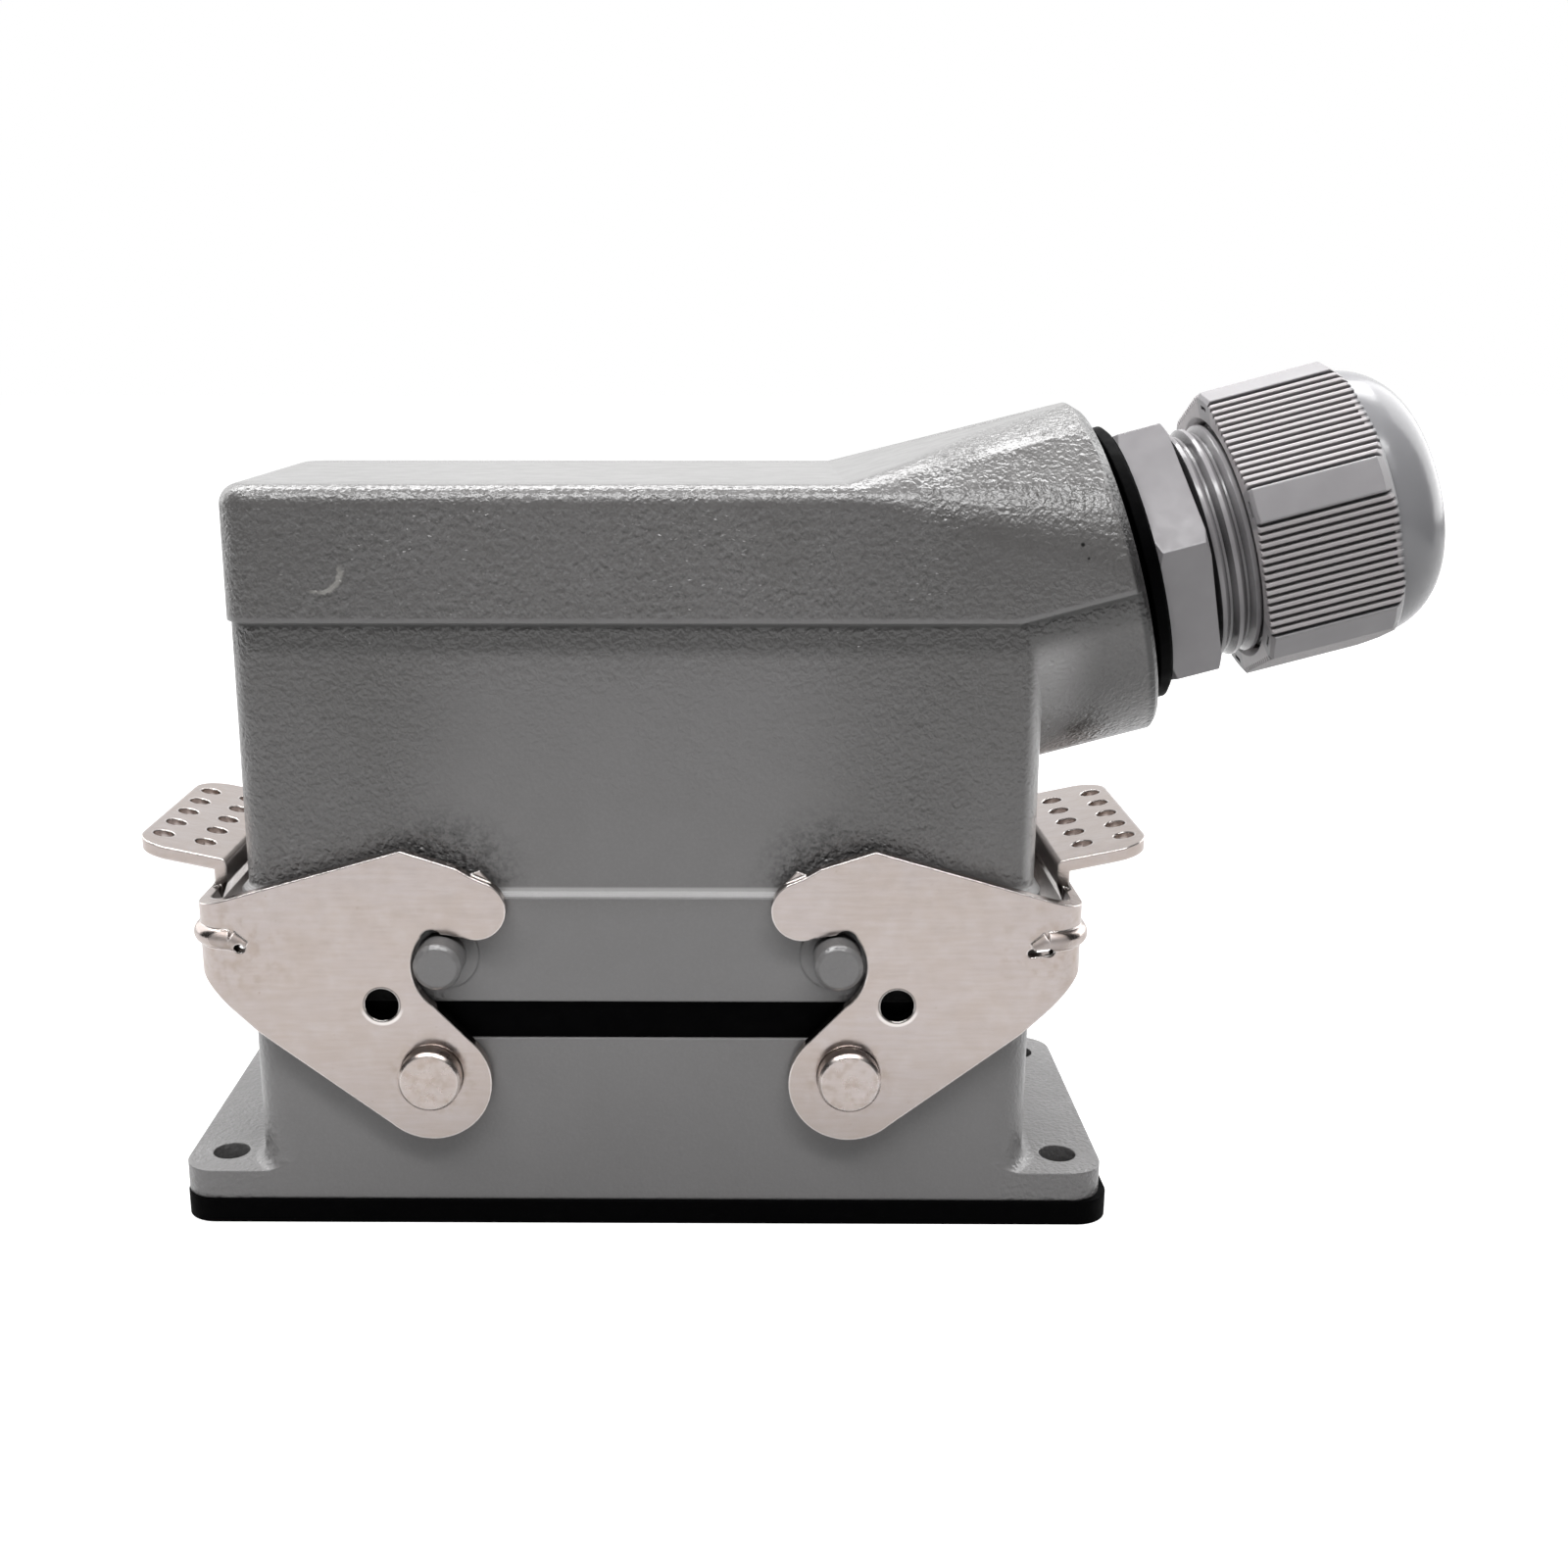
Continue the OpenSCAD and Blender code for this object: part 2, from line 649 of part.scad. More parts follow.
// Pocket for one terminal, its screw hole and its contact bore
module contact_cuts(term_z, face_z) {
    translate([0, 0, (term_z + term_h - cut) / 2 - cut / 2 - 5])
        cube([term_w + 0.2, term_d + 0.2, term_h + cut + 10], center = true);
    translate([0, 0, term_z + term_h / 2]) rotate([-90, 0, 0]) cylinder(h = insert_w, r = 2.3);
    translate([0, 0, term_z]) cylinder(h = face_z - term_z + cut, r = core_r + 0.1);
}

// Holes for the fixing screws and slots for the earth plates
module ear_cuts() {
    at_corners(screw_pitch_x, screw_pitch_y) translate([0, 0, -ear_t - cut])
        cylinder(h = ear_t + 2 * cut, r = clear_r);
    for (s = [-1, 1]) translate([s * (tongue_x + plate_t / 2), 0, 0])
        cube([plate_t + 0.2, tongue_w + 0.4, 3 * ear_t], center = true);
}

module female_insert() {
    color("#b9bab4") female_place() difference() {
        union() {
            slab(insert_l, insert_w, 1, -ear_t, 0);
            slab(block_l, insert_w, 1, -9, -ear_t + 0.5);
            slab(plug_l, plug_w, 1.5, -0.5, female_plug);
            for (i = [1 : contacts - 1])
                translate([(i - contacts / 2) * contact_pitch, 0, female_plug / 2])
                cube([1.6, plug_w + 1, female_plug - 1], center = true);
        }
        ear_cuts();
        at_contacts() contact_cuts(female_term, female_plug);
    }
}

module male_insert() {
    color("#b9bab4") male_place() difference() {
        union() {
            slab(insert_l, insert_w, 1, -ear_t, 0);
            slab(block_l, insert_w, 1, -15, -ear_t + 0.5);
            difference() {
                slab(plug_l + 2 + 2 * shroud_wall, plug_w + 2 + 2 * shroud_wall, 2, -0.5, shroud_len);
                slab(plug_l + 1, plug_w + 1.8, 1.5, shroud_face, shroud_len + cut);
            }
        }
        ear_cuts();
        at_contacts() contact_cuts(male_term, shroud_face);
    }
}

// Terminal body with its wire bore and screw hole
module terminal(term_z) {
    translate([0, 0, term_z + term_h / 2]) difference() {
        cube([term_w, term_d, term_h], center = true);
        translate([0, 0, -term_h / 2 - cut]) cylinder(h = term_h - 2 + cut, r = 1.6);
        rotate([-90, 0, 0]) cylinder(h = term_d, r = 1.5 + seat);
    }
}

module female_contacts() {
    color("#c7a45a") female_place() at_contacts() {
        difference() {
            translate([0, 0, female_term + term_h - 0.5])
                cylinder(h = female_plug - female_term - term_h, r = core_r);
            translate([0, 0, female_plug - 11.5]) cylinder(h = 12, d = contact_d + 0.1);
        }
        terminal(female_term);
    }
}

module male_contacts() {
    color("#c7a45a") male_place() at_contacts() {
        translate([0, 0, male_term + term_h - 0.5])
            cylinder(h = shroud_face - male_term - term_h + 0.5, r = core_r);
        translate([0, 0, shroud_face - 1]) cylinder(h = 11, d = contact_d);
        translate([0, 0, shroud_face + 10]) cylinder(h = 1, d1 = contact_d, d2 = contact_d / 2);
        terminal(male_term);
    }
}

// Slotted screw along +Z, with the underside of its head at zero
module slotted_screw(shank_r, shank_len, head_r, head_h) {
    difference() {
        union() {
            translate([0, 0, -shank_len]) cylinder(h = shank_len + 0.1, r = shank_r);
            cylinder(h = head_h, r = head_r);
        }
        translate([0, 0, head_h]) cube([2 * head_r + cut, 0.8, head_h], center = true);
    }
}

module terminal_screws(term_z) {
    at_contacts() translate([0, term_d / 2 + 0.3, term_z + term_h / 2]) rotate([-90, 0, 0])
        slotted_screw(1.5, 1.8, 2.2, 1.6);
}

module female_terminal_screws() { color("#b8babb") female_place() terminal_screws(female_term); }
module male_terminal_screws() { color("#b8babb") male_place() terminal_screws(male_term); }

// Earth plate: strip under the fixing screws with a tongue down to the earth screw
plate_t = 1.2;
tongue_x = screw_pitch_x / 2 - tongue_in;
tongue_w = 10;
tongue_len = 8.6;
earth_z = -5.8;
strip_w = 6;
clear_r = screw_r + 0.2;
module earth_plate(sx) {
    color("#c2c4c5") mirror([sx < 0 ? 1 : 0, 0, 0]) difference() {
        union() {
            translate([screw_pitch_x / 2 + 0.1, 0, 0]) linear_extrude(plate_t)
                rounded(strip_w, insert_w - 0.6, 1);
            translate([tongue_x, -tongue_w / 2, -tongue_len])
                cube([plate_t, tongue_w, tongue_len + plate_t]);
            translate([tongue_x, -tongue_w / 2, 0]) cube([tongue_in, tongue_w, plate_t]);
        }
        for (s = [-1, 1]) translate([screw_pitch_x / 2, s * screw_pitch_y / 2, -cut])
            cylinder(h = plate_t + 2 * cut, r = clear_r);
        translate([tongue_x - cut, 0, earth_z]) rotate([0, 90, 0])
            cylinder(h = plate_t + 2 * cut, r = screw_r + seat);
    }
}

module female_earth_plate_left() { female_place() earth_plate(-1); }
module female_earth_plate_right() { female_place() earth_plate(1); }
module male_earth_plate_left() { male_place() earth_plate(-1); }
module male_earth_plate_right() { male_place() earth_plate(1); }

module earth_screws() {
    color("#b8babb") for (s = [-1, 1]) mirror([s < 0 ? 1 : 0, 0, 0])
        translate([tongue_x + plate_t, 0, earth_z]) rotate([0, 90, 0])
            slotted_screw(screw_r, plate_t + 1, screw_r + 0.6, 2);
}

module female_earth_screws() { female_place() earth_screws(); }
module male_earth_screws() { male_place() earth_screws(); }

module fixing_screws(reach) {
    color("#b8babb") at_corners(screw_pitch_x, screw_pitch_y)
        translate([0, 0, plate_t]) slotted_screw(screw_r, plate_t + ear_t + reach, screw_r + 1, 2.2);
}

module female_fixing_screws() { female_place() fixing_screws(5); }
module male_fixing_screws() { male_place() fixing_screws(5); }

module gland_washer() {
    color("#141516") entry_frame() rotate_extrude()
        polygon([[thread_r + seat, washer_s], [washer_r - 0.9, washer_s],
            [washer_r - 0.9, washer_s + 0.9],
            [washer_r, washer_s + 1.2],
                [washer_r, hex_s - 0.4], [washer_r - 0.5, hex_s], [thread_r + seat, hex_s]]);
}

// Hexagon whose corners are turned away by a cone at both ends
module hexagon(af, s0, s1, turn) {
    intersection() {
        translate([0, 0, s0]) rotate([0, 0, turn]) cylinder(h = s1 - s0, d = af / cos(30), $fn = 6);
        rotate_extrude() polygon([[0, s0], [af * 0.55, s0], [af * 0.585, s0 + 0.6],
            [af * 0.585, s1 - 0.6], [af * 0.55, s1], [0, s1]]);
    }
}

// Neck with one ring for each turn of the nut's thread
thread_pitch = 2;
thread_depth = 0.7;
module threaded_neck(s0, s1) {
    rings = floor((s1 - s0) / thread_pitch);
    rotate_extrude() polygon(concat([[0, s0 - 1], [thread_r - thread_depth, s0 - 1]],
        [for (i = [0 : rings - 1], q = [[0.15, 1], [0.45, 0], [0.7, 0], [1, 1]])
            [thread_r - q[1] * thread_depth, s0 + (i + q[0]) * thread_pitch]],
        [[0, s0 + rings * thread_pitch]]));
}

claw_r = 12.3;
module gland_body() {
    color("#85878b") entry_frame() difference() {
        union() {
            translate([0, 0, throat_len + 0.4]) cylinder(h = hex_s - throat_len, r = thread_r);
            hexagon(body_af, hex_s, neck_s, 20);
            threaded_neck(neck_s, claw_s);
            translate([0, 0, claw_s - 3]) cylinder(h = claw_end - claw_s + 3, r = claw_r);
        }
        translate([0, 0, -cut]) cylinder(h = claw_end + 2 * cut, r = bore_r);
        translate([0, 0, seal_s]) cylinder(h = claw_end - seal_s + cut, r = pocket_r);
        for (i = [0 : 5]) rotate([0, 0, 30 * i]) translate([-claw_r - cut, -0.6, claw_s + 0.5])
            cube([2 * claw_r + 2 * cut, 1.2, claw_end - claw_s + cut]);
    }
}

module gland_seal() {
    outer = pocket_r - seat;
    lip = nut_mouth_r - 0.3;
    color("#1b1c1d") entry_frame() difference() {
        rotate_extrude() polygon([[0, seal_s], [outer, seal_s], [outer, claw_end],
            [lip, claw_end + 1], [lip, nut_end - 1.5], [0, nut_end - 1.5]]);
        translate([0, 0, seal_s - cut]) cylinder(h = nut_end - seal_s + cut, r = cable_r);
    }
}

// Section of the nut: hexagon with flat corners and fine grooves on each face
module nut_section() {
    corner = nut_af / 2 / cos(30);
    flat = corner - nut_band / 2 / tan(60);
    face = corner - 2 * nut_band / 2 / sin(60);
    step = face / nut_grooves;
    difference() {
        intersection() {
            circle(corner, $fn = 6);
            rotate([0, 0, 30]) circle(flat / cos(30), $fn = 6);
        }
        for (k = [0 : 5], i = [0 : nut_grooves - 1])
            rotate([0, 0, 30 + 60 * k]) translate([nut_af / 2, (i + 0.5) * step - face / 2])
                polygon([[0.1, -0.3 * step], [-groove_depth, -0.12 * step],
                    [-groove_depth, 0.12 * step], [0.1, 0.3 * step]]);
    }
}

module gland_nut() {
    corner = nut_af / 2 / cos(30);
    shell_r = nut_af / 2 - 0.15;
    round_r = dome_len + 0.7;
    inner = thread_r + pin_gap;
    color("#85878b") entry_frame() difference() {
        union() {
            intersection() {
                translate([0, 0, nut_s]) rotate([0, 0, 12]) linear_extrude(nut_len) nut_section();
                rotate_extrude()
                    polygon([[0, nut_s - 1], [corner - 1.6, nut_s - 1], [corner - 1.6, nut_s],
                    [corner - 0.4, nut_s + 0.7], [corner - 0.4, dome_s - 2.1], [shell_r + 0.45, dome_s],
                    [shell_r + 0.45, dome_s + 1], [0, dome_s + 1]]);
            }
            rotate_extrude() intersection() {
                union() {
                    translate([shell_r - round_r, nut_end - round_r]) circle(round_r);
                    translate([0, nut_end - round_r]) square([shell_r - round_r, round_r]);
                }
                translate([0, nut_end - round_r]) square([shell_r + 1, round_r + 1]);
            }
        }
        rotate_extrude() polygon([[0, nut_s - 1], [inner + 1.8, nut_s - 1], [inner, nut_s + 0.8],
            [inner, dome_s - 1.6], [nut_mouth_r, dome_s + 2.4], [nut_mouth_r, nut_end - 0.9],
            [nut_mouth_r + 0.6, nut_end - 0.3], [nut_mouth_r + 0.6, nut_end + 1], [0, nut_end + 1]]);
        for (k = [0 : 5]) rotate([0, 0, 12 + 60 * k]) translate([inner + 2.1, -slot_len / 2, nut_s - cut])
            cube([0.5, slot_len, 1.6 + cut]);
    }
}

mounting_gasket();
bulkhead_housing();
interface_seal();
hood();
pivot_pin_front_left();
pivot_pin_front_right();
pivot_pin_rear_left();
pivot_pin_rear_right();
locking_lever_left();
locking_lever_right();
female_insert();
male_insert();
female_contacts();
male_contacts();
female_terminal_screws();
male_terminal_screws();
female_earth_plate_left();
female_earth_plate_right();
male_earth_plate_left();
male_earth_plate_right();
female_earth_screws();
male_earth_screws();
female_fixing_screws();
male_fixing_screws();
gland_washer();
gland_body();
gland_seal();
gland_nut();
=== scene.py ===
import math

import bpy
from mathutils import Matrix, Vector

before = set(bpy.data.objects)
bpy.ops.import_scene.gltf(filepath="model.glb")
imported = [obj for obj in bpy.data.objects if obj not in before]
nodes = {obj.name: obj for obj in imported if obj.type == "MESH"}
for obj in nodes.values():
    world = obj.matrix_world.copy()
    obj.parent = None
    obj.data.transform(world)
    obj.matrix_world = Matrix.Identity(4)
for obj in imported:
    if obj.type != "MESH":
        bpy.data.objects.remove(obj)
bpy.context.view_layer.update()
MM = 0.001

# Places on the levers' outer faces in millimetres: their pivots, their holes and the ends of their beads
PIVOTS = [(-24.75, -23.4, 20.2), (24.75, -23.4, 20.2), (-24.75, 23.4, 20.2), (24.75, 23.4, 20.2)]
HOLES = [(-30.3, -23.4, 29.05), (30.3, -23.4, 29.05), (-30.3, 23.4, 29.05), (30.3, 23.4, 29.05)]
PITS = [(-46.6, -23.3, 36.1), (47.8, -23.3, 35.9), (-47.8, 23.3, 35.9), (46.6, 23.3, 36.1)]

# The hood's parting line in millimetres: its height, and where and how steeply it turns up the entry
LINE_Z = 73.9
LINE_X = 43.4
LINE_RISE = math.tan(math.radians(15))

# The gland: its tilt, where its dome and the entry's rounded end start along it, and the nut's turn
GLAND_TILT = math.radians(15)
DOME_START = 44.4
RIM_START = 13.0
NUT_TURN = math.radians(12)

# Marks on the hood in millimetres: the scratch's arc, specks with their soft rims, dirt and mottles; the
# dark mottles are a painted shadow above the levers' hooks
SCRATCH_CENTRE = (-35.56, -21.15, 79.97)
SCRATCH_MIDDLE = (-34.3, -21.15, 78.2)
SCRATCH_RADIUS = 2.57
SCRATCH_SHADE_RADIUS = 2.92
SPECKS = [((49.8, 0, 82.8), 0.12, 0.34), ((50.5, 0, 81.3), 0.04, 0.22)]
DIRT_CENTRE = (51.6, -12, 61.7)
ROUGH_SPOTS = [(-22, -20, 46), (22, -20, 46)]
SHADOW_SPOTS = [(-22.5, -20, 43.5), (22.5, -20, 43.5)]

# Light: of the surroundings, and of the floor as the camera and as gloss see it
AMBIENT = 0.31
FLOOR_GLOW = 0.88
FLOOR_GLOSS = 0.35

# Softboxes: name, place, width and length in metres, and watts. All aim at AIM
AIM = (0, 0, 0.05)
SOFTBOXES = [
    ("softbox_front", (-0.05, -0.31, 0.66), (0.90, 0.13), 5.0),
    ("softbox_rear", (-0.05, 0.30, 0.70), (1.00, 0.30), 8.0),
    ("softbox_low", (0.0, -0.42, 0.45), (0.80, 0.30), 1.2),
    ("softbox_right", (0.70, 0.35, 0.42), (0.80, 0.80), 4.0),
    ("softbox_left", (-0.70, 0.35, 0.42), (0.80, 0.80), 2.0),
]

# The room of screens in metres, and the floor's half width
SCREEN_SIDE = 0.46
SCREEN_FRONT = -0.45
SCREEN_SIDE_END = 0.05
SCREEN_TOP_END = 0.80
SCREEN_FOOT = 0.005
SCREEN_HEIGHT = 0.90
FLOOR_REACH = 3.0

# The photograph's camera, fitted to the hole pattern and the body
CAMERA_PLACE = (0.00975, -0.21637, 0.10540)
CAMERA_TILT = math.radians(75.625)
CAMERA_TURN = math.radians(0.43)
CAMERA_LENS = 40.2154
CAMERA_SENSOR = 36.0
CAMERA_SHIFT = 0.0473

# Colours as they are written in a picture, before they are turned to linear light
PAINT = (0.404, 0.398, 0.396)
PAINT_PALE_AND_PAINTED_LIGHT = (0.490, 0.486, 0.488)
PAINT_DARK = (0.380, 0.374, 0.370)
PAINT_SHADE = (0.270, 0.266, 0.264)
PAINT_HIGHLIGHT = (0.690, 0.685, 0.685)
PAINT_DEEP_SHADE_AND_SPECKS = (0.060, 0.058, 0.058)
SCRATCH = (0.640, 0.632, 0.612)
DIRT_AND_SHADE = (0.190, 0.172, 0.160)
NICKEL = (0.735, 0.698, 0.686)
NICKEL_WARM = (0.725, 0.682, 0.660)
NICKEL_PALE = (0.762, 0.730, 0.720)
NICKEL_STAIN = (0.610, 0.530, 0.455)
NICKEL_HIGHLIGHT = (0.950, 0.930, 0.920)
RUBBER_AND_SHADE_BLACK = (0.004, 0.004, 0.006)
RUBBER_DUST_AND_SHADE = (0.028, 0.028, 0.030)
GROOVE_SHADE = (0.110, 0.106, 0.110)
PLASTIC = (0.595, 0.585, 0.594)
PLASTIC_RIB = (0.695, 0.675, 0.680)
PLASTIC_DOME = (0.525, 0.524, 0.534)
INSERT = (0.735, 0.735, 0.710)
BRASS = (0.810, 0.670, 0.400)
ZINC = (0.770, 0.775, 0.780)

# The share of the paint that its gloss coat covers, and the paint's reliefs in millimetres
COAT = 0.6
PEEL_MM = 0.32
GRAIN_MM = 0.003
SCRATCH_MM = 0.05
PAINT_EDGE_MM = 0.35


def linear(colour):
    """A written colour as the four linear numbers that a socket takes."""
    return [c / 12.92 if c <= 0.04045 else ((c + 0.055) / 1.055) ** 2.4 for c in colour] + [1.0]


def darker(colour, share):
    return tuple(c * share for c in colour)


class Look:
    """One material's node tree, with a short call for each kind of node."""

    def __init__(self, name):
        self.material = bpy.data.materials.new(name)
        self.material.use_nodes = True
        self.tree = self.material.node_tree
        self.shader = self.tree.nodes["Principled BSDF"]
        self.place = self.tree.nodes.new("ShaderNodeTexCoord").outputs["Object"]

    def node(self, kind, **values):
        made = self.tree.nodes.new(kind)
        for key, value in values.items():
            setattr(made, key, value)
        return made

    def link(self, source, socket):
        self.tree.links.new(source, socket)

    def feed(self, socket, value):
        """Puts a number, a colour or another node's output into a socket."""
        if isinstance(value, bpy.types.NodeSocket):
            self.link(value, socket)
        else:
            socket.default_value = value

    def set(self, **values):
        """Feeds the shader's sockets, each named with _ for its spaces."""
        for key, value in values.items():
            self.feed(self.shader.inputs[key.replace("_", " ")], value)

    def calc(self, operation, a, b=0.0):
        made = self.node("ShaderNodeMath", operation=operation)
        self.feed(made.inputs[0], a)
        self.feed(made.inputs[1], b)
        return made.outputs[0]

    def times(self, *parts):
        total = parts[0]
        for part in parts[1:]:
            total = self.calc("MULTIPLY", total, part)
        return total

    def highest(self, *parts):
        total = parts[0]
        for part in parts[1:]:
            total = self.calc("MAXIMUM", total, part)
        return total

    def minus(self, a, b):
        return self.calc("SUBTRACT", a, b)

    def unsigned(self, value):
        return self.calc("ABSOLUTE", value)

    def noise(self, size_mm, detail=2.0, rough=0.5, stretch=(1, 1, 1), twist=0.0, lift_mm=0.0):
        """Noise whose features are about size_mm across, from 0 to 1."""
        spread = self.node("ShaderNodeMapping")
        self.link(self.place, spread.inputs["Vector"])
        spread.inputs["Scale"].default_value = stretch
        spread.inputs["Location"].default_value = (0, 0, lift_mm * MM)
        made = self.node("ShaderNodeTexNoise")
        self.link(spread.outputs[0], made.inputs["Vector"])
        made.inputs["Scale"].default_value = 1 / (size_mm * MM)
        made.inputs["Detail"].default_value = detail
        made.inputs["Roughness"].default_value = rough
        made.inputs["Distortion"].default_value = twist
        return made.outputs["Fac"]

    def axis(self, letter):
        """The place along one axis, in millimetres."""
        split = self.node("ShaderNodeSeparateXYZ")
        self.link(self.place, split.inputs[0])
        return self.calc("DIVIDE", split.outputs[letter], MM)

    def from_middle(self, letter):
        """How far the place is from the frame's origin along one axis, in millimetres."""
        return self.unsigned(self.axis(letter))

    def from_line(self):
        """How far the place is above the hood's parting line, in millimetres."""
        past = self.highest(self.minus(self.axis("X"), LINE_X), 0.0)
        rise = self.calc("ADD", self.times(past, LINE_RISE), LINE_Z)
        return self.minus(self.axis("Z"), rise)

    def along_gland(self):
        """How far the place is along the gland from the entry's root, in millimetres."""
        across = self.times(self.minus(self.axis("X"), LINE_X), math.cos(GLAND_TILT))
        up = self.times(self.minus(self.axis("Z"), LINE_Z), math.sin(GLAND_TILT))
        return self.calc("ADD", across, up)

    def ribbed_side(self):
        """1 on the nut's six ribbed sides, 0 on the plain corners between them."""
        across = self.times(self.minus(self.axis("X"), LINE_X), math.sin(GLAND_TILT))
        down = self.times(self.minus(self.axis("Z"), LINE_Z), math.cos(GLAND_TILT))
        angle = self.calc("ARCTAN2", self.axis("Y"), self.minus(across, down))
        wave = self.calc("COSINE", self.times(self.minus(angle, NUT_TURN), 6.0))
        return self.fade(wave, 0.62, 0.72)

    def ramp(self, value, low, high, out_low=0.0, out_high=1.0):
        """value from low to high becomes out_low to out_high, held at its ends and eased between them."""
        made = self.node("ShaderNodeMapRange", interpolation_type="SMOOTHSTEP")
        self.feed(made.inputs["Value"], value)
        limits = {"From Min": low, "From Max": high, "To Min": out_low, "To Max": out_high}
        for name, number in limits.items():
            made.inputs[name].default_value = number
        return made.outputs[0]

    def fade(self, value, low, high, most=1.0):
        """most up to low, 0 from high."""
        return self.ramp(value, low, high, most, 0.0)

    def between(self, value, start, full, fading, gone):
        """1 from full to fading, 0 before start and after gone."""
        return self.times(self.ramp(value, start, full), self.fade(value, fading, gone))

    def blend(self, share, low, high):
        """low where share is 0 and high where it is 1; each is a colour or an output."""
        made = self.node("ShaderNodeMix", data_type="RGBA")
        self.feed(made.inputs["Factor"], share)
        self.feed(made.inputs[6], low)
        self.feed(made.inputs[7], high)
        return made.outputs[2]

    def crevice(self, reach_mm, low, high, depth, alone=False):
        """depth where walls within reach_mm leave under the share low of the sky, 0 from the share high."""
        shade = self.node("ShaderNodeAmbientOcclusion", samples=8, only_local=alone)
        shade.inputs["Distance"].default_value = reach_mm * MM
        return self.fade(shade.outputs["AO"], low, high, depth)

    def edges(self, size_mm):
        """1 on the part's edges, 0 from size_mm away."""
        soft = self.node("ShaderNodeBevel", samples=6)
        soft.inputs["Radius"].default_value = size_mm * MM
        facing = self.node("ShaderNodeNewGeometry").outputs["Normal"]
        both = self.node("ShaderNodeVectorMath", operation="DOT_PRODUCT")
        self.link(soft.outputs[0], both.inputs[0])
        self.link(facing, both.inputs[1])
        return self.fade(both.outputs["Value"], 0.86, 0.99)

    def away(self, point_mm):
        """How far the place is from a point, in millimetres."""
        made = self.node("ShaderNodeVectorMath", operation="DISTANCE")
        self.link(self.place, made.inputs[0])
        made.inputs[1].default_value = [v * MM for v in point_mm]
        return self.calc("DIVIDE", made.outputs["Value"], MM)

    def across(self, point_mm):
        """How far the place is from a point as seen from the front, in millimetres."""
        made = self.node("ShaderNodeVectorMath", operation="DISTANCE")
        flat = self.node("ShaderNodeVectorMath", operation="MULTIPLY")
        self.link(self.place, flat.inputs[0])
        flat.inputs[1].default_value = (1, 0, 1)
        self.link(flat.outputs[0], made.inputs[0])
        made.inputs[1].default_value = (point_mm[0] * MM, 0, point_mm[2] * MM)
        return self.calc("DIVIDE", made.outputs["Value"], MM)

    def near(self, point_mm, radius_mm, soft_mm):
        """1 within radius_mm of a point, 0 beyond soft_mm more."""
        return self.fade(self.away(point_mm), radius_mm, radius_mm + soft_mm)

    def relief(self, heights, edge_mm):
        """Bumps of (height socket, size in millimetres), one on another, over edges rounded to edge_mm."""
        soft = self.node("ShaderNodeBevel", samples=6)
        soft.inputs["Radius"].default_value = edge_mm * MM
        normal = soft.outputs[0]
        for height, size_mm in heights:
            bump = self.node("ShaderNodeBump")
            bump.inputs["Strength"].default_value = 1.0
            bump.inputs["Distance"].default_value = size_mm * MM
            self.link(height, bump.inputs["Height"])
            self.link(normal, bump.inputs["Normal"])
            normal = bump.outputs[0]
        self.link(normal, self.shader.inputs["Normal"])
        self.link(normal, self.shader.inputs["Coat Normal"])


def paint_look(name, peel):
    """Satin powder coat. peel gives the strength of its orange peel over the part."""
    look = Look(name)
    cloud = look.noise(14, detail=3)
    fine = look.noise(0.4, detail=2)
    colour = look.blend(look.ramp(cloud, 0.3, 0.7), linear(PAINT_DARK), linear(PAINT))
    colour = look.blend(look.ramp(fine, 0.40, 0.75, 0.0, 0.22), colour, linear(PAINT_PALE_AND_PAINTED_LIGHT))
    wrinkle = look.noise(0.55, detail=1.5, twist=0.3)
    swell = look.noise(1.2, detail=1)
    height = look.calc("ADD", wrinkle, look.times(swell, 0.5))
    # Centred on zero, so that a change of strength makes no step
    strength = peel(look)
    height = look.times(look.minus(height, 0.75), strength)
    # Painted highlight and shade: the peel's upper slopes are painted paler and its lower ones darker, as if
    # lit from above
    raised = look.noise(0.75, detail=1.5, twist=0.3)
    slope_light_and_shade = look.minus(raised, look.noise(0.75, detail=1.5, twist=0.3, lift_mm=0.28))
    slope_light_and_shade = look.times(slope_light_and_shade, look.calc("MINIMUM", strength, 1.0))
    colour = look.blend(look.ramp(slope_light_and_shade, 0.0, 0.22, 0.0, 0.6), colour, linear(PAINT_PALE_AND_PAINTED_LIGHT))
    colour = look.blend(look.fade(slope_light_and_shade, -0.22, 0.0, 0.6), colour, linear(PAINT_SHADE))
    look.set(Roughness=look.ramp(look.noise(3, detail=2), 0.3, 0.7, 0.30, 0.40))
    look.set(Coat_Weight=COAT, Coat_Roughness=0.18, Specular_IOR_Level=0.5)
    return look, colour, [(height, PEEL_MM), (look.noise(0.25, detail=1), GRAIN_MM)]


def crevices(look, colour):
    """The paint with painted shade: darker in narrow gaps, and black and dull behind the hole of a lever
    that covers it.
    """
    # Painted shade in narrow gaps
    colour = look.blend(look.crevice(5, 0.12, 0.50, 0.92), colour, linear(PAINT_DEEP_SHADE_AND_SPECKS))
    # Painted shade behind each covered lever hole: black where the hole shows only shade
    behind = look.highest(*[look.near(point, 4.6, 0.8) for point in HOLES])
    hidden = look.times(behind, look.crevice(5, 0.75, 0.95, 1.0))
    satin = look.shader.inputs["Roughness"].links[0].from_socket
    gloss = look.times(look.minus(1.0, hidden), COAT)
    look.set(Roughness=look.highest(satin, hidden), Coat_Weight=gloss)
    return look.blend(hidden, colour, linear(RUBBER_AND_SHADE_BLACK))


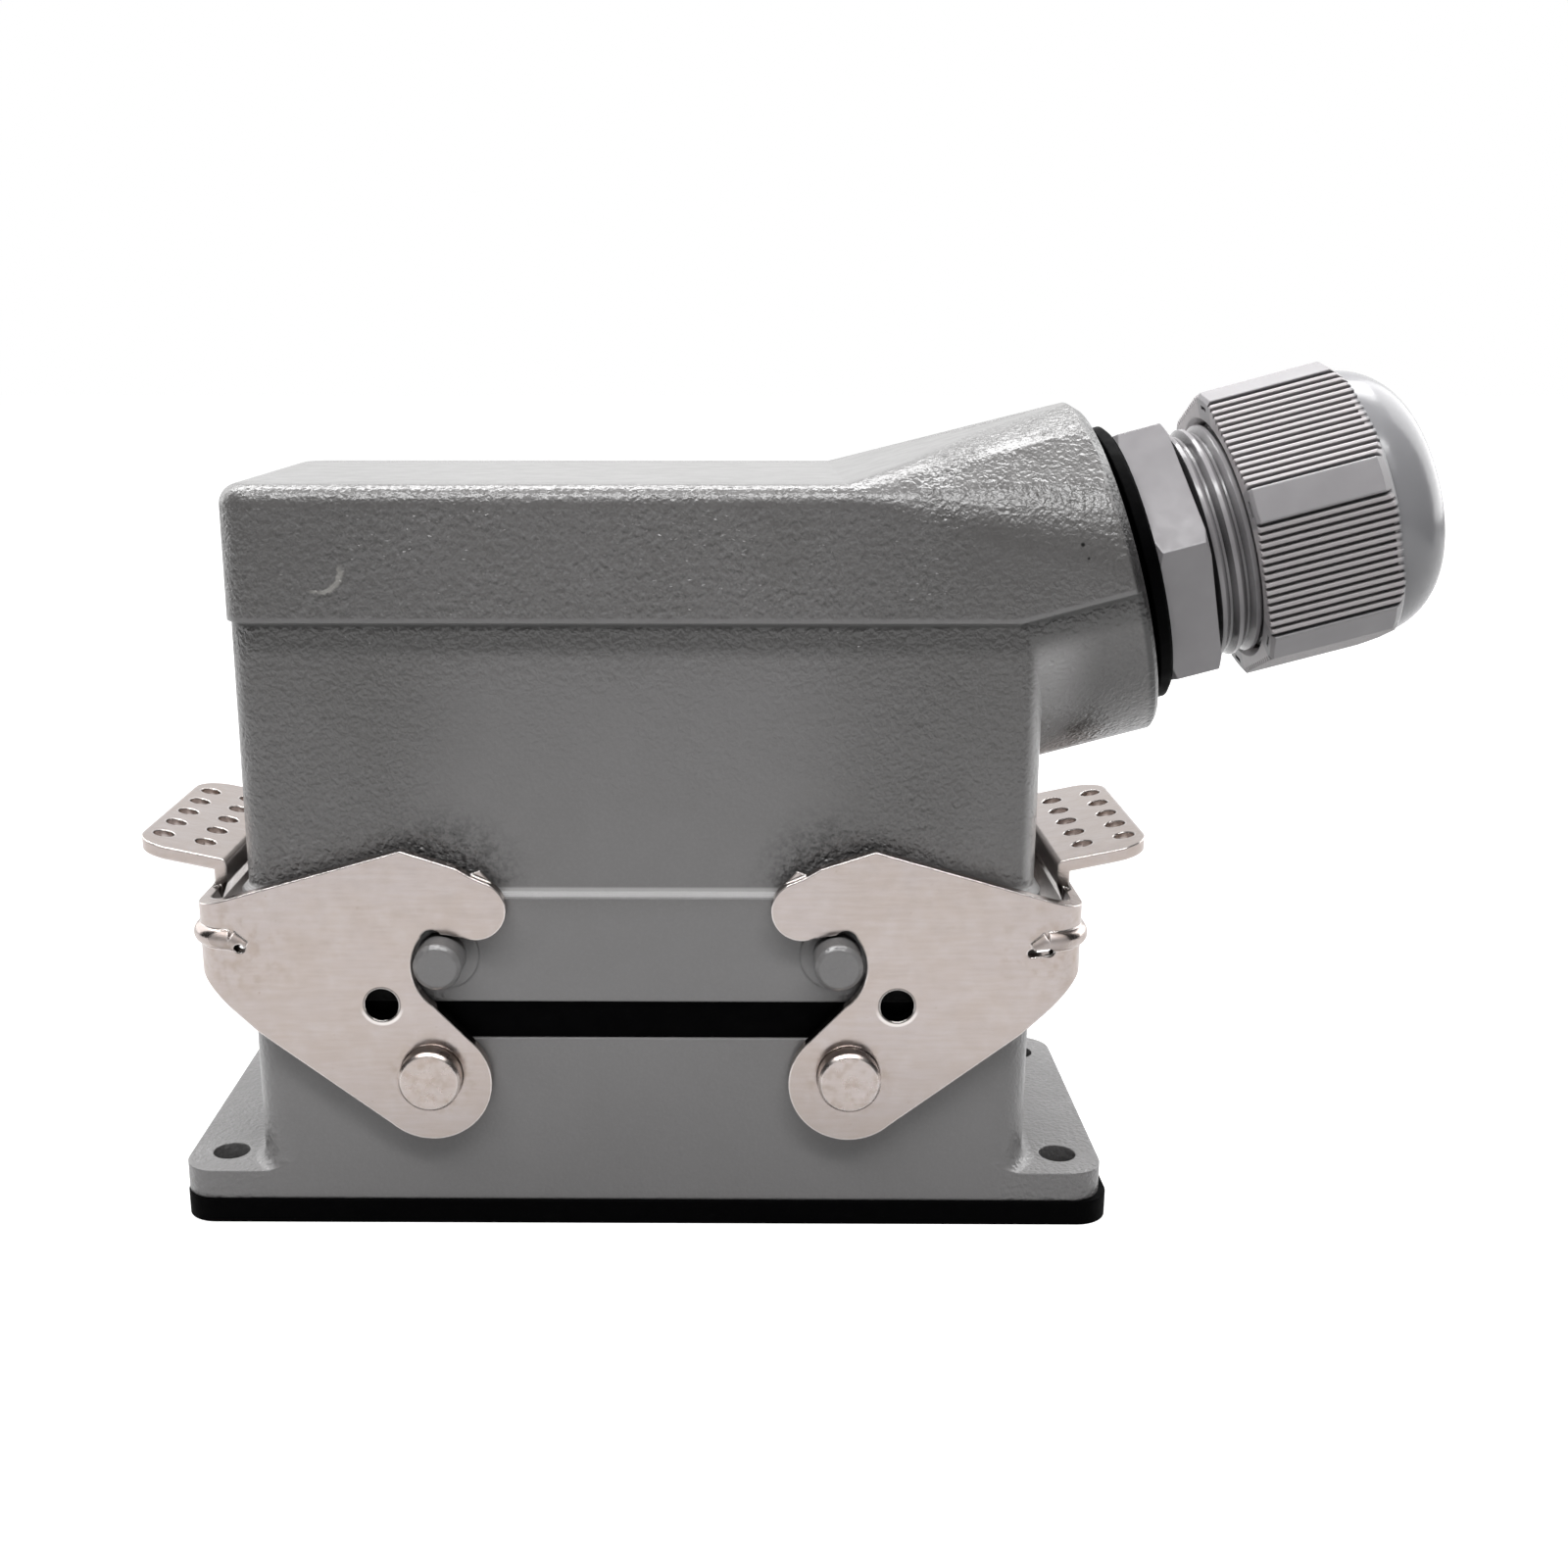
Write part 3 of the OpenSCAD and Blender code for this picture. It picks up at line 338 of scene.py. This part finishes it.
def hood_peel(look):
    """The strength of the hood's peel: strong above the parting line, calm in the middle of the front."""
    height = look.axis("Z")
    upper = look.ramp(height, 64, 74, 0.20, 1.0)
    entry = look.ramp(look.axis("X"), 32, 42, 0.0, 0.50)
    edge = look.ramp(height, 86.2, 87.6, 0.0, 0.55)
    # Strong above the levers as well
    lever = look.fade(height, 44, 54)
    side = look.ramp(look.from_middle("X"), 12, 26)
    skirt = look.ramp(height, 41.5, 42.5)
    spot = look.highest(*[look.near(point, 5, 6) for point in ROUGH_SPOTS])
    low = look.times(lever, side, skirt, look.calc("ADD", spot, 1.0))
    ends = look.ramp(look.from_middle("X"), 16, 32, 0.1, 0.6)
    most = look.highest(upper, low, ends)
    # Where the edge or the entry starts, the peel is lower
    top = look.highest(edge, entry)
    calm = look.fade(top, 0.0, 0.50)
    most = look.calc("ADD", look.times(most, calm), top)
    # The top is smooth: its smooth width narrows up the entry, with the strongest peel beside it
    width = look.ramp(look.axis("X"), 26, 44, 16.6, 3.0)
    inside = look.minus(width, look.from_middle("Y"))
    crest = look.times(look.ramp(look.axis("X"), 30, 38), look.ramp(inside, -10.0, -8.0))
    most = look.calc("ADD", most, crest)
    flat = look.times(look.ramp(inside, 0, 1.5), look.ramp(height, 86, 88))
    at_line = look.ramp(look.unsigned(look.from_line()), 0.3, 1.0)
    uneven = look.ramp(look.noise(9, detail=1), 0.3, 0.7, 0.65, 1.0)
    return look.times(most, look.minus(1.0, flat), at_line, uneven)


def hood_tones(look, colour):
    """The hood's colour with its painted light and shade: paler and darker zones."""
    # Painted light: paler in the middle of the front and on the skirt, and a painted highlight on the ledge
    # above it
    middle = look.times(look.fade(look.from_middle("X"), 14, 32), look.fade(look.axis("Z"), 66, 76), 0.40)
    skirt = look.fade(look.axis("Z"), 38, 46, 0.62)
    colour = look.blend(look.highest(middle, skirt), colour, linear(PAINT_PALE_AND_PAINTED_LIGHT))
    ledge_highlight = look.between(look.axis("Z"), 41.6, 41.9, 42.5, 42.9)
    colour = look.blend(look.times(ledge_highlight, 0.85), colour, linear(PAINT_HIGHLIGHT))
    # Painted shadow of the levers: dark mottles above their hooks
    spot = look.highest(*[look.near(point, 4, 7) for point in SHADOW_SPOTS])
    mottle = look.ramp(look.noise(0.6, detail=2, twist=0.3), 0.30, 0.66, 0.66, 0.14)
    mottled_shadow = look.times(spot, look.ramp(look.axis("Z"), 42.5, 43.5), mottle)
    colour = look.blend(mottled_shadow, colour, linear(PAINT_DEEP_SHADE_AND_SPECKS))
    # Painted shade: darker towards its ends
    ends = look.ramp(look.from_middle("X"), 12, 34, 0.0, 0.22)
    ends = look.times(ends, look.ramp(look.axis("Z"), 44, 50))
    colour = look.blend(ends, colour, linear(PAINT_SHADE))
    # Painted shadow: the darker strip under the parting line's overhang
    gap = look.from_line()
    strip_shadow = look.between(gap, -4.4, -2.4, -0.1, 0.1)
    colour = look.blend(look.times(strip_shadow, 0.75), colour, linear(PAINT_SHADE))
    # Painted highlights: paler where the entry's underside meets the body, and on the parting line's lip
    root = look.times(look.fade(look.axis("X"), 46.5, 53.5, 0.70), look.ramp(look.axis("X"), 44.5, 46.0))
    root = look.times(root, look.fade(look.from_middle("Y"), 20.2, 20.6), look.fade(gap, -6.0, -2.0))
    colour = look.blend(root, colour, linear(PAINT_HIGHLIGHT))
    lip_highlight = look.between(gap, 0.0, 0.15, 0.45, 0.75)
    return look.blend(look.times(lip_highlight, 0.55), colour, linear(PAINT_PALE_AND_PAINTED_LIGHT))


def hood_marks(look, colour):
    """The colour with the scratch and the painted shade beside it, two specks and the dirt under the entry;
    and the scratch's share.
    """
    wobble = look.times(look.minus(look.noise(0.5, detail=2), 0.5), 0.5)
    ring = look.calc("ADD", look.away(SCRATCH_CENTRE), wobble)
    worn = look.ramp(look.noise(0.7), 0.3, 0.5, 0.4, 1.0)
    part = look.times(look.near(SCRATCH_MIDDLE, 1.6, 1.3), worn)
    broader = look.ramp(look.axis("X"), -36.5, -33, 0.0, 0.24)
    off = look.minus(look.unsigned(look.minus(ring, SCRATCH_RADIUS)), broader)
    scratch = look.times(look.fade(off, 0.02, 0.26), part)
    # Painted shade along the scratch's outer side
    under = look.fade(look.unsigned(look.minus(ring, SCRATCH_SHADE_RADIUS)), 0.06, 0.30)
    colour = look.blend(look.times(scratch, 0.6), colour, linear(SCRATCH))
    colour = look.blend(look.times(under, part, 0.3), colour, linear(DIRT_AND_SHADE))
    crumbs = look.ramp(look.noise(0.7, detail=4), 0.38, 0.46)
    patch = look.times(look.near(DIRT_CENTRE, 1.8, 1.3), crumbs)
    colour = look.blend(look.times(patch, 0.95), colour, linear(DIRT_AND_SHADE))
    front = look.fade(look.axis("Y"), -9, -7)
    specks = look.highest(*[look.fade(look.across(point), core, rim) for point, core, rim in SPECKS])
    return look.blend(look.times(specks, front), colour, linear(PAINT_DEEP_SHADE_AND_SPECKS)), scratch


def hood_paint():
    look, colour, heights = paint_look("hood_paint", hood_peel)
    colour, scratch = hood_marks(look, hood_tones(look, colour))
    # Painted shade: the entry's rounded end is painted much darker
    rim = look.ramp(look.along_gland(), RIM_START, RIM_START + 0.5, 0.0, 0.85)
    colour = look.blend(rim, colour, linear(PAINT_DEEP_SHADE_AND_SPECKS))
    look.set(Base_Color=crevices(look, colour))
    look.relief(heights + [(scratch, SCRATCH_MM)], PAINT_EDGE_MM)
    return look.material


def housing_peel(look):
    """The strength of the housing's peel: strong at its ends."""
    ends = look.ramp(look.from_middle("X"), 40, 48, 0.15, 0.7)
    return look.times(ends, look.ramp(look.noise(9, detail=1), 0.3, 0.7, 0.5, 1.0))


def housing_paint():
    look, colour, heights = paint_look("housing_paint", housing_peel)
    colour = look.blend(0.55, colour, linear(PAINT_PALE_AND_PAINTED_LIGHT))
    look.set(Base_Color=crevices(look, colour))
    look.relief(heights, PAINT_EDGE_MM)
    return look.material


def nickel_look(name, rough, share, wave_mm):
    """Nickel plate with clouds, fine pits and warm stains by the pivots and beads, painted highlights on its
    edges and hole rims, and painted shade in its holes and pits.
    """
    look = Look(name)
    cloud = look.ramp(look.noise(9, detail=3, twist=0.5), 0.32, 0.68)
    speck = look.noise(0.55, detail=2)
    colour = look.blend(cloud, linear(darker(NICKEL_WARM, share)), linear(darker(NICKEL, share)))
    haze = look.ramp(look.noise(2.2, detail=3), 0.45, 0.8, 0.0, 0.5)
    colour = look.blend(haze, colour, linear(NICKEL_PALE))
    colour = look.blend(look.ramp(speck, 0.72, 0.82, 0.0, 0.5), colour, linear(NICKEL_STAIN))
    for point in PIVOTS:
        ring = look.times(look.near(point, 3.8, 2.2), look.ramp(look.noise(1.3, detail=3), 0.42, 0.7))
        colour = look.blend(look.times(ring, 0.35), colour, linear(NICKEL_STAIN))
    # Painted shade: each hole is dark inside, with a painted highlight on its rim below
    below = look.fade(look.axis("Z"), 27.0, 28.9)
    for point in HOLES:
        radius = look.across(point)
        rim = look.times(look.between(radius, 2.05, 2.25, 2.45, 2.7), below, 0.6)
        colour = look.blend(rim, colour, linear(NICKEL_HIGHLIGHT))
        wall = look.fade(radius, 2.1, 2.3)
        colour = look.blend(look.times(wall, 0.85), colour, linear(DIRT_AND_SHADE))
    # Painted shade in the pit at each bead's end, with warm stains around it
    for point in PITS:
        colour = look.blend(look.near(point, 0.70, 0.15), colour, linear(RUBBER_DUST_AND_SHADE))
        warm = look.times(look.near(point, 2.0, 7.0), look.ramp(look.noise(1.6, detail=3), 0.45, 0.7))
        colour = look.blend(look.times(warm, 0.35), colour, linear(NICKEL_STAIN))
    streak = look.noise(0.5, detail=2, stretch=(0.10, 1, 1))
    colour = look.blend(look.fade(streak, 0.35, 0.65, 0.10), colour, linear(NICKEL_STAIN))
    # Painted highlight along the edges
    colour = look.blend(look.times(look.edges(0.4), 0.9), colour, linear(NICKEL_HIGHLIGHT))
    look.set(Base_Color=colour, Metallic=1.0)
    # The pressed bead stands out of the sheet and is duller
    outside = look.ramp(look.from_middle("Y"), 23.5, 23.8)
    bead = look.times(outside, look.ramp(look.axis("Z"), 33.0, 34.0))
    uneven = look.ramp(look.noise(1.8, detail=4), 0.25, 0.75, rough, rough + 0.09)
    look.set(Roughness=look.calc("ADD", uneven, look.times(bead, 0.32)))
    wave = look.noise(2.6, detail=3)
    look.relief([(wave, wave_mm), (streak, 0.13 * wave_mm), (speck, 0.2 * wave_mm)], 0.3)
    return look.material


def rubber_look():
    look = Look("black_rubber")
    dust = look.ramp(look.noise(1.2, detail=4, rough=0.7), 0.55, 0.8, 0.0, 0.5)
    look.set(Base_Color=look.blend(dust, linear(RUBBER_AND_SHADE_BLACK), linear(RUBBER_DUST_AND_SHADE)))
    look.set(Roughness=look.ramp(look.noise(2, detail=3), 0.3, 0.7, 0.5, 0.65), Specular_IOR_Level=0.03)
    look.relief([(look.noise(0.8, detail=3), 0.03)], 0.3)
    return look.material


def plastic_look(name, reach_mm, open_share, depth, rough, ribs):
    """Grey plastic with painted shade: darker by depth where walls within reach_mm leave little sky, as in
    grooves and threads, and as written where they leave open_share. ribs is 1 for the nut, whose ribbed
    sides are paler."""
    look = Look(name)
    cloud = look.ramp(look.noise(6, detail=3), 0.3, 0.7)
    painted_groove_shade = look.crevice(reach_mm, 0.38, open_share, depth, alone=True)
    colour = look.blend(cloud, linear(darker(PLASTIC, 0.95)), linear(PLASTIC))
    colour = look.blend(look.times(look.ribbed_side(), ribs), colour, linear(PLASTIC_RIB))
    dome = look.ramp(look.along_gland(), DOME_START - 0.6, DOME_START)
    colour = look.blend(dome, colour, linear(PLASTIC_DOME))
    look.set(Base_Color=look.blend(painted_groove_shade, colour, linear(GROOVE_SHADE)))
    uneven = look.ramp(look.noise(1.5, detail=3), 0.3, 0.7, 0.0, 0.06)
    look.set(Roughness=look.calc("ADD", uneven, look.ramp(dome, 0.0, 1.0, rough, 0.17)))
    look.relief([(look.noise(2.5, detail=2), 0.02), (look.noise(0.4, detail=2), 0.004)], 0.25)
    return look.material


def plain_look(name, tone, low_share, metal, rough, size_mm):
    """A simple worn finish for what sits inside."""
    look = Look(name)
    cloud = look.ramp(look.noise(size_mm, detail=3), 0.3, 0.7)
    look.set(Base_Color=look.blend(cloud, linear(darker(tone, low_share)), linear(tone)))
    uneven = look.ramp(look.noise(size_mm / 3, detail=3), 0.3, 0.7, rough, rough + 0.12)
    look.set(Metallic=metal, Roughness=uneven)
    look.relief([(look.noise(0.6, detail=3), 0.012)], 0.15)
    return look.material


def dress():
    """Puts every CAD node's finish into its material slots."""
    nickel = nickel_look("nickel_plate", 0.16, 1.0, 0.03)
    pin_nickel = nickel_look("pin_nickel", 0.24, 1.06, 0.01)
    rubber = rubber_look()
    body_plastic = plastic_look("gland_body_plastic", 6.0, 0.97, 0.97, 0.12, 0.0)
    nut_plastic = plastic_look("gland_nut_plastic", 0.9, 0.80, 0.60, 0.34, 1.0)
    insert = plain_look("insert_plastic", INSERT, 0.92, 0.0, 0.5, 5)
    brass = plain_look("contact_brass", BRASS, 0.85, 1.0, 0.25, 2)
    zinc = plain_look("zinc_steel", ZINC, 0.85, 1.0, 0.3, 2)
    finish = [
        ("hood", hood_paint(), "grey_paint"),
        ("bulkhead_housing", housing_paint(), "grey_paint"),
        ("pivot_pin", pin_nickel, "nickel_plate"),
        ("locking_lever", nickel, "nickel_plate"),
        ("mounting_gasket", rubber, "black_rubber"),
        ("interface_seal", rubber, "black_rubber"),
        ("gland_washer", rubber, "black_rubber"),
        ("gland_seal", rubber, "black_rubber"),
        ("gland_body", body_plastic, "grey_plastic"),
        ("gland_nut", nut_plastic, "grey_plastic"),
        ("female_insert", insert, "insert_plastic"),
        ("male_insert", insert, "insert_plastic"),
        ("female_contacts", brass, "contact_brass"),
        ("male_contacts", brass, "contact_brass"),
    ]
    screws = (zinc, "zinc_steel")
    for name, node in sorted(nodes.items()):
        material, slot = next(((m, s) for start, m, s in finish if name.startswith(start)), screws)
        for place in node.material_slots:
            place.material = material


def seen_rays(tree):
    """1 for what the camera, gloss and glass see, 0 for plain light; and 1 for gloss alone."""
    path = tree.nodes.new("ShaderNodeLightPath")
    total = path.outputs["Is Camera Ray"]
    for name in ("Is Glossy Ray", "Is Transmission Ray"):
        both = tree.nodes.new("ShaderNodeMath")
        both.operation = "MAXIMUM"
        tree.links.new(total, both.inputs[0])
        tree.links.new(path.outputs[name], both.inputs[1])
        total = both.outputs[0]
    return total, path.outputs["Is Glossy Ray"]


def levels(tree, share, low, high):
    """low where share is 0 and high where it is 1; each is a number or an output."""
    made = tree.nodes.new("ShaderNodeMapRange")
    tree.links.new(share, made.inputs["Value"])
    for name, value in (("To Min", low), ("To Max", high)):
        if isinstance(value, bpy.types.NodeSocket):
            tree.links.new(value, made.inputs[name])
        else:
            made.inputs[name].default_value = value
    return made.outputs[0]


def matt(name, level):
    """A grey material without shine, and its shader."""
    material = bpy.data.materials.new(name)
    material.use_nodes = True
    shader = material.node_tree.nodes["Principled BSDF"]
    shader.inputs["Base Color"].default_value = (level, level, level, 1)
    shader.inputs["Roughness"].default_value = 1.0
    shader.inputs["Specular IOR Level"].default_value = 0.0
    return material, shader


def flat_sheet(name, corners, material):
    """A staged sheet that isn't part of the object."""
    mesh = bpy.data.meshes.new(name)
    mesh.from_pydata(corners, [], [(0, 1, 2, 3)])
    mesh.materials.append(material)
    made = bpy.data.objects.new(name, mesh)
    bpy.context.scene.collection.objects.link(made)
    return made


def surroundings():
    """A white world that lights the object dimly."""
    world = bpy.data.worlds.new("studio")
    world.use_nodes = True
    bpy.context.scene.world = world
    tree = world.node_tree
    back = tree.nodes["Background"]
    back.inputs["Color"].default_value = (1, 1, 1, 1)
    seen = seen_rays(tree)[0]
    tree.links.new(levels(tree, seen, AMBIENT, 1.0), back.inputs["Strength"])


def floor():
    """A pale floor that keeps the object's shadow."""
    paper, shader = matt("floor", 0.40)
    tree = paper.node_tree
    shader.inputs["Emission Color"].default_value = (1, 1, 1, 1)
    seen, gloss = seen_rays(tree)
    glow = levels(tree, gloss, FLOOR_GLOW, FLOOR_GLOSS)
    tree.links.new(levels(tree, seen, 0.0, glow), shader.inputs["Emission Strength"])
    r = FLOOR_REACH
    flat_sheet("floor", [(-r, -r, 0), (r, -r, 0), (r, r, 0), (-r, r, 0)], paper)


def screens():
    """Dark screens at the front and sides and a grey one above, hidden from the camera."""
    dark = matt("dark_screen", 0.02)[0]
    grey = matt("grey_screen", 0.40)[0]
    w, foot, top = SCREEN_SIDE, SCREEN_FOOT, SCREEN_HEIGHT
    front, side_end, top_end = SCREEN_FRONT, SCREEN_SIDE_END, SCREEN_TOP_END

    def side(x):
        return [(x, front, foot), (x, side_end, foot), (x, side_end, top), (x, front, top)]

    sheets = [
        ("screen_front", dark, [(-w, front, foot), (w, front, foot), (w, front, top), (-w, front, top)]),
        ("screen_left", dark, side(-w)),
        ("screen_right", dark, side(w)),
        ("screen_top", grey, [(-w, front, top), (w, front, top), (w, top_end, top), (-w, top_end, top)]),
    ]
    for name, material, corners in sheets:
        flat_sheet(name, corners, material).visible_camera = False


def softbox(name, place, size, watts):
    """A rectangular lamp that faces the object."""
    data = bpy.data.lights.new(name, "AREA")
    data.shape = "RECTANGLE"
    data.size, data.size_y = size
    data.energy = watts
    made = bpy.data.objects.new(name, data)
    bpy.context.scene.collection.objects.link(made)
    made.location = place
    made.rotation_mode = "QUATERNION"
    made.rotation_quaternion = (Vector(AIM) - Vector(place)).to_track_quat("-Z", "Y")


def studio():
    bpy.context.scene.view_settings.view_transform = "Standard"
    surroundings()
    floor()
    screens()
    for name, place, size, watts in SOFTBOXES:
        softbox(name, place, size, watts)


def camera():
    data = bpy.data.cameras.new("camera")
    data.sensor_width = CAMERA_SENSOR
    data.lens = CAMERA_LENS
    data.shift_x = CAMERA_SHIFT
    made = bpy.data.objects.new("camera", data)
    bpy.context.scene.collection.objects.link(made)
    made.location = CAMERA_PLACE
    made.rotation_euler = (CAMERA_TILT, 0, CAMERA_TURN)
    bpy.context.scene.camera = made


dress()
studio()
camera()
